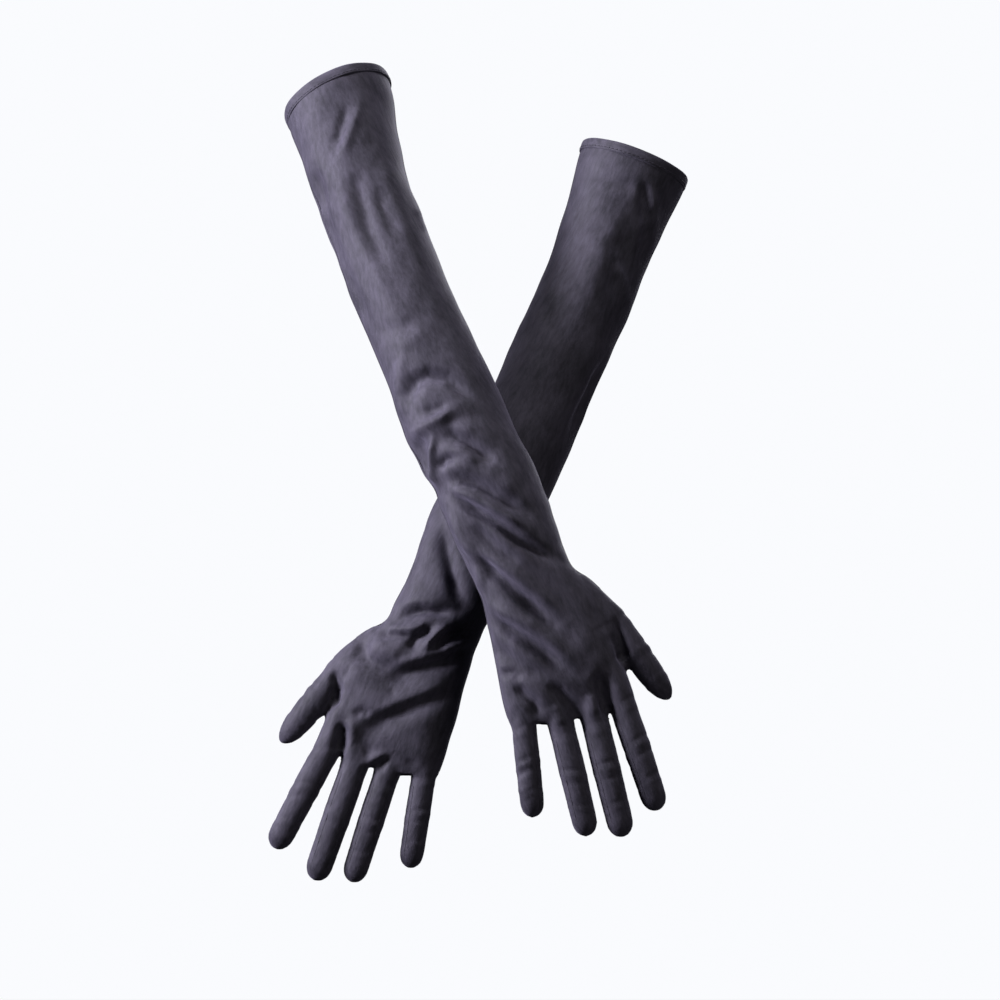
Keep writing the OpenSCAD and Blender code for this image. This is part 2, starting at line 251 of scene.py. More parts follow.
def sleeve_and_hand(glove):
    angles = np.linspace(0, 2 * math.pi, RING, endpoint=False)
    cos, sin = np.cos(angles), np.sin(angles)
    rings = []
    for t in np.linspace(-MOUTH_OVERRUN / (3 * SLEEVE_HANDLE), 0.97, SLEEVE_STEPS):
        along = glove.section(t)
        w, d = np.interp(t, *SLEEVE_WIDTH), np.interp(t, *SLEEVE_DEPTH)
        x = glove.to_thumb(along)
        n = glove.side * np.cross(along, x)
        rings.append(glove.centre(t) + np.outer(w * cos, x) + np.outer(d * sin, n))
    for step in np.linspace(0.03, 1, HAND_STEPS):
        reach = np.interp(KNUCKLE_REACH * fuller(cos), *KNUCKLES)
        u = step * reach
        r, l = np.interp(u, *THUMB_EDGE), np.interp(u, *LITTLE_EDGE)
        x = (r - l) / 2 + (r + l) / 2 * fuller(cos)
        n = np.interp(u, *HAND_DEPTH) * fuller(sin)
        rings.append(glove.hand_place(x, u, n))
    return tube(rings)


# A digit's start inside the hand, its thinning towards the tip, and its bulge at the knuckle
THUMB_SHAPE = (-34.0, 0.30, 0.3, 0.42)
FINGER_SHAPE = (-34.0, 0.10, 0.15, 0.46)
CAP_ANGLES = (16, 31, 45, 58, 69, 78, 85)
# Depth, place and length of a finger's neck just beyond the web, and of its pad at the knuckle
NECK = (0.45, 10, 9)
PAD = (0.6, -3, 7)


def bump_at(s, size, place, length):
    """A smooth bump of a size, about a place, over a length."""
    return size * math.exp(-((s - place) / length) ** 2)


def digit(glove, name, shrink=0.3):
    """A digit from inside the hand to its tip, deeper where it joins the knuckles."""
    angles = np.linspace(0, 2 * math.pi, DIGIT_RING, endpoint=False)
    half = DIGITS[name][2] - shrink
    length = glove.digit_axis(name, np.zeros(1))[2]
    is_thumb = name == "thumb"
    start, taper, bulge, knuckle = THUMB_SHAPE if is_thumb else FINGER_SHAPE
    cap = half * (1.7 if is_thumb else 1.15)
    stations = list(np.linspace(start, length - cap, DIGIT_STEPS))
    stations += [length - cap + cap * math.sin(math.radians(a)) for a in CAP_ANGLES]
    rings = []
    for s in stations:
        middle, x, _ = glove.digit_axis(name, np.array([s]))
        share = max(s / length, 0)
        inside = max(s / start, 0)
        w = half * (1 - taper * share) + bulge * math.exp(-((share - knuckle) / 0.11) ** 2)
        d = w * DIGIT_FLATNESS * (1 - 0.1 * share)
        if is_thumb:
            w *= 1 - 0.5 * inside
            d = w * DIGIT_FLATNESS * (1 + 0.35 * inside)
        else:
            w -= bump_at(s, *NECK)
            d += 5.0 * inside * (1 - 0.35 * inside) + bump_at(s, *PAD)
        past = max(0, (s - length + cap) / cap)
        end = math.sqrt(max(1 - past ** 2.2, 0.004))
        ring = middle + np.outer(w * end * np.cos(angles), x)
        ring = ring + np.outer(d * end * np.sin(angles), glove.out)
        rings.append(ring)
    return tube(rings)


def add_mesh(name, points, faces):
    mesh = bpy.data.meshes.new(name)
    mesh.from_pydata((np.asarray(points) * MM).tolist(), [], [list(f) for f in faces])
    mesh.update()
    thing = bpy.data.objects.new(name, mesh)
    bpy.context.collection.objects.link(thing)
    return thing


def applied(thing):
    """The object's mesh with its modifiers, and nothing left behind."""
    bpy.context.view_layer.update()
    graph = bpy.context.evaluated_depsgraph_get()
    mesh = bpy.data.meshes.new_from_object(thing.evaluated_get(graph))
    bpy.data.objects.remove(thing)
    return mesh


def arrays(mesh):
    points = np.empty(len(mesh.vertices) * 3)
    mesh.vertices.foreach_get("co", points)
    faces = np.array([p.vertices[:] for p in mesh.polygons if len(p.vertices) == 4])
    return points.reshape(-1, 3) / MM, faces


def vertex_normals(points, faces):
    a = points[faces[:, 2]] - points[faces[:, 0]]
    b = points[faces[:, 3]] - points[faces[:, 1]]
    flat = np.cross(a, b)
    normals = np.zeros_like(points)
    for k in range(4):
        np.add.at(normals, faces[:, k], flat)
    return normals / np.maximum(np.linalg.norm(normals, axis=1), 1e-12)[:, None]


def filled_shape(glove):
    """The remeshed, smoothed closed skin of one filled glove."""
    solids = [sleeve_and_hand(glove)] + [digit(glove, name) for name in DIGITS]
    thing = add_mesh("skin", *stacked(solids))
    remesh = thing.modifiers.new("remesh", "REMESH")
    remesh.mode = "VOXEL"
    remesh.voxel_size = REMESH_SIZE * MM
    remesh.adaptivity = 0
    smooth = thing.modifiers.new("smooth", "SMOOTH")
    smooth.factor = 0.5
    smooth.iterations = SMOOTH_ROUNDS
    mesh = applied(thing)
    points, faces = arrays(mesh)
    bpy.data.meshes.remove(mesh)
    return points, faces


# ---- folds of the cloth: (points as X, Z before the origin is set), height, half-width ----
# A positive height is a ridge and a negative one a valley. They lie on the side that faces the front.
RIGHT_FOLDS = [
    # long soft streaks of the upper sleeve
    (((-86, 517), (-89, 503), (-95, 486)), -1.5, 3.4),
    (((-78, 515), (-85, 497), (-91, 478)), 1.5, 3.2),
    (((-107, 474), (-106, 462), (-103, 440)), -1.8, 2.8),
    (((-113, 484), (-105, 445), (-87, 402), (-66, 356)), -1.3, 4.0),
    (((-97, 481), (-87, 450), (-70, 412), (-51, 366)), 1.3, 5.5),
    (((-78, 478), (-80, 462), (-73, 432), (-57, 399)), -1.8, 4.5),
    (((-62, 494), (-59, 465), (-46, 432), (-28, 386)), 1.1, 6.0),
    (((-66, 462), (-62, 446), (-52, 424)), -1.2, 3.5),
    (((-43, 448), (-37, 440), (-33, 430)), 1.3, 3.5),
    (((-67, 371), (-58, 365), (-48, 366), (-38, 374)), -0.8, 5.0),
    (((-55, 353), (-45, 359), (-33, 366)), 0.7, 5.0),
    # the arch above the crossing
    (((-50, 353), (-51, 330), (-50, 303)), 1.6, 3.5),
    (((-45, 312), (-45, 323), (-41, 332), (-32, 336), (-20, 334), (-11, 327), (-1, 318)), -2.6, 3.8),
    (((-38, 320), (-32, 325), (-22, 324), (-13, 318)), 0.5, 4.0),
    (((-36, 313), (-28, 312), (-19, 317)), -1.1, 2.8),
    (((-43, 293), (-36, 301), (-25, 307), (-15, 314)), 2.0, 3.6),
    (((-25, 300), (-15, 307), (-4, 309), (8, 307)), -0.9, 4.6),
    # the pinch at the edge, and the folds that fan out of it
    (((-36, 299), (-38, 288), (-36, 277), (-32, 267)), -3.0, 3.6),
    (((-29, 297), (-30, 284), (-30, 270), (-27, 259)), 2.2, 1.8),
    (((-26, 295), (-17, 296), (-7, 292), (3, 285), (13, 279)), -3.2, 3.6),
    (((-18, 289), (-9, 285), (1, 278)), 0.9, 3.0),
    (((-26, 274), (-22, 280), (-14, 282)), -2.0, 2.4),
    (((-26, 264), (-13, 268), (0, 264), (13, 257), (24, 251), (38, 242)), -3.4, 4.2),
    (((-21, 259), (-9, 258), (5, 251), (18, 243), (34, 236)), 2.2, 3.2),
    (((-26, 259), (-18, 258), (-2, 248), (14, 239), (28, 228), (44, 219), (59, 212)), -3.4, 3.4),
    (((-21, 251), (-12, 234), (-4, 220), (2, 205), (1, 188)), 1.8, 3.0),
    (((-5, 240), (5, 229), (16, 219), (28, 210)), -2.2, 4.0),
    (((-7, 217), (5, 211), (20, 199), (34, 187), (49, 174)), -3.4, 3.8),
    (((-2, 224), (14, 213), (31, 199), (46, 187), (57, 176)), 2.0, 4.4),
    # the back of the hand
    (((7, 180), (14, 174), (28, 166), (44, 155), (57, 143)), -3.2, 3.8),
    (((5, 188), (18, 180), (34, 172), (51, 159), (64, 147)), 2.1, 4.2),
    (((8, 162), (18, 152), (31, 143), (47, 139)), -1.9, 4.5),
    (((13, 141), (22, 141), (29, 136)), -1.6, 2.6),
    (((90, 180), (93, 162), (97, 143)), -2.2, 2.8),
    # valleys between the knuckles
    (((41, 111), (36, 122), (28, 129), (22, 134)), -2.4, 3.4),
    (((67, 107), (62, 119), (53, 129), (44, 134)), -2.0, 3.6),
    (((84, 112), (82, 126), (80, 136), (82, 143)), -2.6, 3.4),
    (((74, 129), (78, 113)), 0.8, 3.5),
    (((49, 122), (55, 106)), 0.8, 3.5),
    # the little finger's creases
    (((18, 83), (25, 75), (34, 79)), -0.6, 2.6),
    (((22, 68), (28, 63), (34, 66)), 0.5, 2.8),
]
LEFT_FOLDS = [
    # the upper sleeve
    (((110, 466), (110, 450), (111, 434)), -1.5, 3.0),
    (((116, 463), (117, 443), (115, 424)), 1.1, 2.6),
    (((92, 413), (96, 398), (98, 382)), 1.1, 2.8),
    (((78, 471), (92, 464), (108, 460)), -1.0, 4.5),
    (((73, 438), (85, 430), (97, 417)), -0.9, 5.0),
    (((90, 445), (79, 412), (64, 372), (47, 340)), 0.9, 7.0),
    (((107, 451), (95, 412), (80, 372)), -0.9, 6.5),
    (((116, 442), (111, 425), (107, 407)), -1.5, 3.5),
    (((86, 350), (77, 328), (68, 310), (60, 293)), -2.8, 3.4),
    (((92, 356), (86, 338), (78, 321)), 1.6, 3.0),
    # the sleeve below the crossing
    (((-24, 242), (-22, 224), (-17, 205), (-11, 185)), -2.4, 4.0),
    (((-32, 238), (-36, 215), (-46, 188)), 0.9, 5.0),
    # arcs round the wrist
    (((-54, 174), (-48, 179), (-38, 181), (-25, 180), (-15, 180)), -2.6, 3.0),
    (((-55, 182), (-38, 188), (-18, 188)), 1.0, 4.0),
    (((-59, 172), (-51, 168), (-39, 170), (-32, 175)), 1.6, 2.8),
    (((-63, 172), (-61, 165), (-51, 165), (-42, 166)), -1.6, 2.6),
    (((-46, 154), (-42, 161), (-36, 166), (-30, 171)), -2.5, 3.2),
    (((-35, 154), (-32, 162), (-25, 168), (-17, 172)), 2.2, 2.6),
    (((-28, 159), (-20, 165), (-11, 167), (-4, 168)), -2.4, 3.0),
    (((-26, 154), (-15, 159), (-5, 163)), 1.4, 2.8),
    (((-72, 169), (-77, 160), (-74, 150), (-64, 144), (-50, 144)), -2.4, 4.0),
    (((-68, 163), (-62, 156), (-50, 151)), 1.5, 4.6),
    # two large folds over the back of the hand
    (((-63, 142), (-48, 147), (-32, 151), (-18, 155), (-7, 159)), 1.5, 3.2),
    (((-70, 133), (-55, 137), (-38, 143), (-22, 149), (-4, 155)), -2.7, 5.4),
    (((-91, 129), (-83, 139), (-81, 152)), 1.2, 5.0),
    (((-59, 126), (-55, 130)), -0.6, 3.0),
    (((-72, 112), (-51, 121), (-35, 127), (-18, 134)), 1.9, 3.8),
    (((-78, 92), (-70, 104), (-59, 112), (-46, 118), (-32, 124), (-15, 130)), -2.6, 6.2),
    (((-83, 112), (-76, 115), (-70, 112)), -1.2, 2.6),
    # knuckles and the valleys between them
    (((-83, 111), (-83, 96), (-86, 82)), 1.2, 3.2),
    (((-89, 108), (-90, 96), (-92, 86)), -2.8, 3.4),
    (((-78, 79), (-68, 84), (-58, 88)), 1.2, 2.4),
    (((-76, 88), (-68, 91)), -0.5, 3.4),
    (((-67, 75), (-62, 82), (-58, 86)), -0.9, 3.0),
    (((-45, 78), (-43, 84)), -0.5, 3.0),
    # beside the thumb
    (((-95, 143), (-93, 132), (-95, 122), (-99, 117)), -2.4, 2.8),
]
FOLDS = {"right": RIGHT_FOLDS, "left": LEFT_FOLDS}
# Every listed height and half-width is taken this much larger
FOLD_SCALE, FOLD_BREADTH = 1.7, 1.2
# Heights of the long, crossing and fine waves of slack cloth
WAVE_HEIGHTS = (0.50, 0.38, 0.16)
# Where the cloth is drawn in at an edge: X, Z, depth and radius
PINCHES = {
    "right": [(-28, 260, 3.5, 8.0), (-50, 296, -3.0, 20.0), (40, 230, -1.0, 14.0)],
    "left": [(-58, 174, 1.8, 8.0), (-1, 172, 2.0, 8.0), (-44, 214, 4.5, 22.0)],
}


def distance_along(points, line):
    """Distance of points from a chain of segments, and how far along it, 0 to 1."""
    line = np.array(line, float)
    lengths = np.linalg.norm(np.diff(line, axis=0), axis=1)
    before = np.concatenate([[0], np.cumsum(lengths)[:-1]])
    best = np.full(len(points), 1e9)
    share = np.zeros(len(points))
    for a, b, length, start in zip(line[:-1], line[1:], lengths, before):
        h = (b - a) / length
        s = np.clip((points - a) @ h, 0, length)
        d = np.linalg.norm(points - a - s[:, None] * h, axis=1)
        nearer = d < best
        best[nearer] = d[nearer]
        share[nearer] = (start + s[nearer]) / lengths.sum()
    return best, share


def fold_heights(glove, points, normals):
    """How far each point stands out of the filled shape, in millimetres."""
    flat = (points + ORIGIN)[:, [0, 2]]
    front = ramp(-normals[:, 1], -0.05, 0.45)
    height = np.zeros(len(points))
    for line, size, half in FOLDS[glove.name]:
        d, share = distance_along(flat, line)
        ends = ramp(share, -0.02, 0.3) * (1 - ramp(share, 0.7, 1.02))
        shape = np.exp(-((d / (FOLD_BREADTH * half)) ** 2)) * (0.15 + 0.85 * ends)
        height += FOLD_SCALE * size * shape * front
    for x, z, depth, radius in PINCHES[glove.name]:
        d = np.hypot(flat[:, 0] - x, flat[:, 1] - z)
        height -= depth * np.exp(-((d / radius) ** 2)) * (1 - 0.5 * front)
    height += digit_creases(glove, points) + soft_waves(glove, points)
    height += hidden_folds(glove, points, normals)
    from_mouth = (points - glove.cuff) @ glove.down
    return height * ramp(from_mouth, HEM_HEIGHT, 3 * HEM_HEIGHT)


# Small creases across the digits: share of the length, height and half-width
CREASES = (
    (0.07, -0.35, 1.8), (0.15, 0.25, 2.0), (0.40, -0.45, 1.5), (0.46, 0.35, 1.6), (0.53, -0.4, 1.5),
    (0.72, -0.25, 1.4), (0.77, 0.2, 1.5),
)


def digit_creases(glove, points):
    """Cloth gathers a little where each digit's joints are."""
    height = np.zeros(len(points))
    for order, (name, (_, _, half)) in enumerate(DIGITS.items()):
        middle, side, length = glove.digit_axis(name, np.zeros(1))
        h = np.cross(side, glove.out)
        h = h * np.sign((glove.digit_axis(name, np.array([length]))[0][0] - middle[0]) @ h)
        s = (points - middle[0]) @ h
        lateral = (points - middle[0]) @ side
        n = (points - middle[0]) @ glove.out
        on = (s > 0) & (np.abs(lateral) < 1.3 * half)
        slant = (0.35 * math.sin(2.1 * order + glove.side), 0.3 * math.cos(1.7 * order))
        for share, size, width in CREASES:
            d = s - share * length + slant[0] * lateral + slant[1] * n
            height += on * size * np.exp(-((d / width) ** 2)) * (0.6 + 0.4 * np.sin(0.35 * lateral + order))
    return height


def soft_waves(glove, points):
    """Slack cloth is never quite smooth: shallow slanting waves over the sleeve and hand."""
    from_wrist = (points - glove.wrist) @ glove.along
    across = (points - glove.wrist) @ glove.lateral
    depth = (points - glove.wrist) @ glove.out
    phase = glove.side
    bend = 1.3 * np.sin(0.021 * from_wrist + 0.03 * depth + phase)
    long_wave = np.sin(0.15 * across + 0.045 * from_wrist + 0.08 * depth + bend)
    cross_wave = np.sin(0.10 * from_wrist - 0.11 * across + 0.05 * depth + 1.7 * bend + phase)
    fine_wave = np.sin(0.31 * from_wrist + 0.21 * across - 0.13 * depth + 2.0 * bend)
    patch = 0.5 + 0.5 * np.sin(0.05 * from_wrist - 0.06 * across + 2 * phase)
    hand = 1 - 0.75 * ramp(from_wrist, 60, 95)
    long_height, cross_height, fine_height = WAVE_HEIGHTS
    return hand * (
        long_height * long_wave + cross_height * cross_wave * patch
        + fine_height * fine_wave * (1 - patch)
    )


def hidden_folds(glove, points, normals):
    """Slanting folds on the palm side, which the front view doesn't show."""
    back = ramp(normals[:, 1], -0.1, 0.5)
    from_wrist = (points - glove.wrist) @ glove.along
    across = (points - glove.wrist) @ glove.lateral
    slack = np.exp(-(((from_wrist + 45) / 48) ** 2)) + 0.8 * np.exp(-(((from_wrist - 8) / 16) ** 2))
    wave = np.sin(0.19 * from_wrist + 0.075 * across + 1.1 * np.sin(0.05 * across + 0.03 * from_wrist))
    fine = np.sin(0.33 * from_wrist - 0.12 * across + 0.8)
    long_waves = np.sin(0.16 * across + 0.012 * from_wrist + 0.4)
    palm = np.exp(-(((from_wrist - 60) / 26) ** 2)) * np.exp(-(((across - 8) / 26) ** 2))
    sleeve = 1 - ramp(from_wrist, -60, -10)
    return back * (
        1.3 * slack * wave + 0.5 * slack * fine + 0.45 * sleeve * long_waves
        + 0.9 * palm * np.sin(0.16 * across + 0.10 * from_wrist)
    )


# ---- which piece each face belongs to ----
# Half the angle that a fork takes round a finger, in degrees
FORK_EDGE = 48
# Distance from a digit's base at which its own pieces start
FINGER_CUT = 4.0
THUMB_CUT = 33.0
# The thumb's piece stops this share of its half-width towards the hand, so the hand's edge stays out
WEB_EDGE = 1.02
HAS_INNER_FORK = ("middle", "ring", "little")
HAS_OUTER_FORK = ("index", "middle", "ring")
# Depth below the mouth at which the cloth starts; the hem covers its edge
MOUTH_CUT = 5.0


def sleeve_frames(glove, count=90):
    shares = np.linspace(-0.04, 1, count)
    centres = np.array([glove.centre(t) for t in shares])
    slopes = np.array([glove.section(t) for t in shares])
    sides = np.array([glove.to_thumb(a) for a in slopes])
    outs = glove.side * np.cross(slopes, sides)
    return centres, sides, outs


def out_side(glove, centres):
    """Height of points over the middle surface between the back and the underside."""
    from_wrist = (centres - glove.wrist) @ glove.along
    mids, _, outs = sleeve_frames(glove)
    nearest = np.empty(len(centres), int)
    for i in range(0, len(centres), 4000):
        gap = centres[i:i + 4000, None, :] - mids[None]
        nearest[i:i + 4000] = (gap ** 2).sum(2).argmin(1)
    sleeve = ((centres - mids[nearest]) * outs[nearest]).sum(1)
    hand = (centres - glove.wrist) @ glove.out
    return np.where(from_wrist < 0, sleeve, hand)


def sort_faces(glove, points, faces):
    """The name of the piece that each face belongs to, and "" for the part above the mouth."""
    centres = points[faces].mean(1)
    names = np.where(out_side(glove, centres) > 0, "back_panel", "underside_panel").astype(object)
    best = np.full(len(centres), 1.6)
    for digit_name, (base, tip, half) in DIGITS.items():
        middle, side, length = glove.digit_axis(digit_name, np.zeros(1))
        h = (glove.digit_axis(digit_name, np.array([length]))[0][0] - middle[0])
        h = unit(h - (h @ glove.out) * glove.out)
        s = (centres - middle[0]) @ h
        lateral = (centres - middle[0]) @ side
        height = (centres - glove.digit_axis(digit_name, s)[0]) @ glove.out
        cut = THUMB_CUT if digit_name == "thumb" else FINGER_CUT
        nearer = (s > cut) & (np.abs(lateral) / half < best)
        if digit_name == "thumb":
            nearer &= lateral > -WEB_EDGE * half
        best[nearer] = np.abs(lateral[nearer]) / half
        angle = np.degrees(np.arctan2(height / DIGIT_FLATNESS, lateral))
        part = np.where(height > 0, "_back", "_front").astype(object)
        if digit_name in HAS_INNER_FORK:
            part[np.abs(angle) < FORK_EDGE] = "_fork" if digit_name == "little" else "_inner_fork"
        if digit_name in HAS_OUTER_FORK:
            part[np.abs(angle) > 180 - FORK_EDGE] = "_fork" if digit_name == "index" else "_outer_fork"
        if digit_name == "thumb":
            part[:] = ""
        names[nearer] = digit_name + part[nearer]
    above = (centres - glove.cuff) @ glove.down < MOUTH_CUT
    names[above] = ""
    return names


def cloth_piece(name, points, normals, faces):
    """Two layers of cloth with a rim, shaded as one surface with the pieces beside it."""
    used, at = np.unique(faces, return_inverse=True)
    quads = at.reshape(faces.shape)
    outer, n = points[used], normals[used]
    inner = outer - n * CLOTH
    count = len(used)
    edges = np.concatenate([quads[:, [k, (k + 1) % 4]] for k in range(4)])
    key = np.sort(edges, axis=1)
    _, first, times = np.unique(key, axis=0, return_index=True, return_counts=True)
    rim = edges[first[times == 1]]
    rim_faces = np.column_stack([rim[:, 1], rim[:, 0], rim[:, 0] + count, rim[:, 1] + count])
    all_faces = np.vstack([quads, quads[:, ::-1] + count, rim_faces])
    thing = add_mesh(name, np.vstack([outer, inner]), all_faces.tolist())
    mesh = thing.data
    corner = np.concatenate([n[quads.ravel()], -n[quads[:, ::-1].ravel()]])
    rim_points = np.vstack([outer, inner])[rim_faces]
    rim_normals = np.cross(rim_points[:, 1] - rim_points[:, 0], rim_points[:, 3] - rim_points[:, 0])
    rim_normals /= np.maximum(np.linalg.norm(rim_normals, axis=1), 1e-9)[:, None]
    corner = np.concatenate([corner, np.repeat(rim_normals, 4, axis=0)])
    mesh.polygons.foreach_set("use_smooth", np.ones(len(mesh.polygons), bool))
    mesh.normals_split_custom_set(corner.tolist())
    return thing


# ---- seams, hems and stitches ----
BEAD_SIDES = 8
SIDE_SEAM_RADIUS = 0.55
DIGIT_SEAM_RADIUS, DIGIT_SEAM_SQUASH = 0.34, 0.45
# How far past the wrist a side seam runs, and where a digit's seams start and stop
THUMB_SIDE_END, LITTLE_SIDE_END = 26.0, 92.0
THUMB_SEAM_START, FINGER_SEAM_START, TIP_MARGIN = 40, 10, 4.5


def bead(path, radius, normals, squash=0.6):
    """A thin flattened tube along a path, as points and faces."""
    path = np.array(path)
    slopes = np.gradient(path, axis=0)
    slopes /= np.maximum(np.linalg.norm(slopes, axis=1), 1e-9)[:, None]
    side = np.cross(slopes, normals)
    side /= np.maximum(np.linalg.norm(side, axis=1), 1e-9)[:, None]
    up = np.cross(side, slopes)
    angles = np.linspace(0, 2 * math.pi, BEAD_SIDES, endpoint=False)
    size = radius * np.minimum(1, np.sin(np.linspace(0.25, math.pi - 0.25, len(path))) * 3)
    rings = (
        path[:, None] + size[:, None, None] * np.cos(angles)[None, :, None] * side[:, None]
        + squash * size[:, None, None] * np.sin(angles)[None, :, None] * up[:, None]
    )
    return tube(rings)


def joined(name, solids):
    points, faces = stacked(solids)
    thing = add_mesh(name, points, faces)
    thing.data.polygons.foreach_set("use_smooth", np.ones(len(faces), bool))
    return thing


def smoothed(path, rounds=3):
    path = np.array(path)
    for _ in range(rounds):
        path[1:-1] = (path[:-2] + 2 * path[1:-1] + path[2:]) / 4
    return path


def on_surface(tree, starts, directions):
    """Where rays from inside the glove reach its outer surface."""
    path, normals = [], []
    for start, direction in zip(starts, directions):
        hit, normal, _, _ = tree.ray_cast(Vector(start), Vector(direction))
        if hit is not None:
            path.append(np.array(hit))
            normals.append(np.array(direction))
    return smoothed(path), np.array(normals)


def side_seam(glove, tree, thumb_side):
    """The seam from the hem to the thumb, or to the little finger."""
    sign = 1 if thumb_side else -1
    starts, ways = [], []
    for t in np.linspace(0.0, 0.995, 150):
        along = glove.section(t)
        starts.append(glove.centre(t))
        ways.append(sign * glove.to_thumb(along))
    last = THUMB_SIDE_END if thumb_side else LITTLE_SIDE_END
    for u in np.arange(1.0, last, 2.2):
        middle = (np.interp(u, *THUMB_EDGE) - np.interp(u, *LITTLE_EDGE)) / 2
        starts.append(glove.hand_place(np.array(middle), np.array(u), np.array(0.0)))
        ways.append(sign * glove.lateral)
    path, normals = on_surface(tree, starts, ways)
    name = "inner_seam" if thumb_side else "outer_seam"
    return joined(f"{glove.name}_{name}_thread", [bead(path, SIDE_SEAM_RADIUS, normals)])


def digit_seams(glove, tree, name, angles, start):
    length = glove.digit_axis(name, np.zeros(1))[2]
    solids = []
    for angle in angles:
        a = math.radians(angle)
        starts, ways = [], []
        for s in np.linspace(start, length - TIP_MARGIN, 34):
            middle, side, _ = glove.digit_axis(name, np.array([s]))
            starts.append(middle[0])
            ways.append(unit(math.cos(a) * side + DIGIT_FLATNESS * math.sin(a) * glove.out))
        path, normals = on_surface(tree, starts, ways)
        solids.append(bead(path, DIGIT_SEAM_RADIUS, normals, DIGIT_SEAM_SQUASH))
    return joined(f"{glove.name}_{name}_seams", solids)


def around_cuff(glove, angle, radius, depth):
    side = glove.to_thumb(glove.down)
    out = glove.side * np.cross(glove.down, side)
    ripple = 0.22 * math.sin(5 * angle + 0.6) + 0.15 * math.sin(9 * angle + 2.0)
    return (
        glove.cuff + (radius + ripple) * (math.cos(angle) * side + math.sin(angle) * out)
        + depth * glove.down
    )


# The hem's section: radius over the cuff's, and depth below the mouth
HEM_PROFILE = (
    (0.2, 6.9), (0.0, 4.5), (0.0, 1.6), (0.2, 0.5), (0.65, 0.08), (1.15, 0.2), (1.5, 0.75),
    (1.62, 1.8), (1.6, 4.2), (1.35, 5.6), (1.5, 6.3), (1.35, 6.9), (1.05, 7.2), (0.7, 7.2),
)
HEM_STEPS = 180
# Stitches round a hem: how many, the share of each step that one fills, and where they lie
STITCHES = 78
STITCH_SHARE = 0.68
STITCH_RADIUS, STITCH_DEPTH = 1.5, 5.6


def cuff_hem(glove):
    angles = np.linspace(0, 2 * math.pi, HEM_STEPS, endpoint=False)
    rings = np.array([
        [around_cuff(glove, a, CUFF_RADIUS + r, d) for r, d in HEM_PROFILE] for a in angles
    ])
    around = len(HEM_PROFILE)
    faces = []
    for i in range(HEM_STEPS):
        j = (i + 1) % HEM_STEPS
        for k in range(around):
            m = (k + 1) % around
            faces.append((i * around + k, i * around + m, j * around + m, j * around + k))
    thing = add_mesh(f"{glove.name}_turned_hem", rings.reshape(-1, 3), faces)
    fix = bmesh.new()
    fix.from_mesh(thing.data)
    bmesh.ops.recalc_face_normals(fix, faces=fix.faces)
    fix.to_mesh(thing.data)
    fix.free()
    thing.data.polygons.foreach_set("use_smooth", np.ones(len(faces), bool))
    return thing


def hem_stitches(glove):
    solids = []
    for i in range(STITCHES):
        start = 2 * math.pi * i / STITCHES
        angles = np.linspace(start, start + 2 * math.pi / STITCHES * STITCH_SHARE, 5)
        path = np.array([
            around_cuff(glove, a, CUFF_RADIUS + STITCH_RADIUS, STITCH_DEPTH) for a in angles
        ])
        axis_point = glove.cuff + STITCH_DEPTH * glove.down
        solids.append(bead(path, 0.3, path - axis_point, 0.8))
    return joined(f"{glove.name}_hem_stitches", solids)


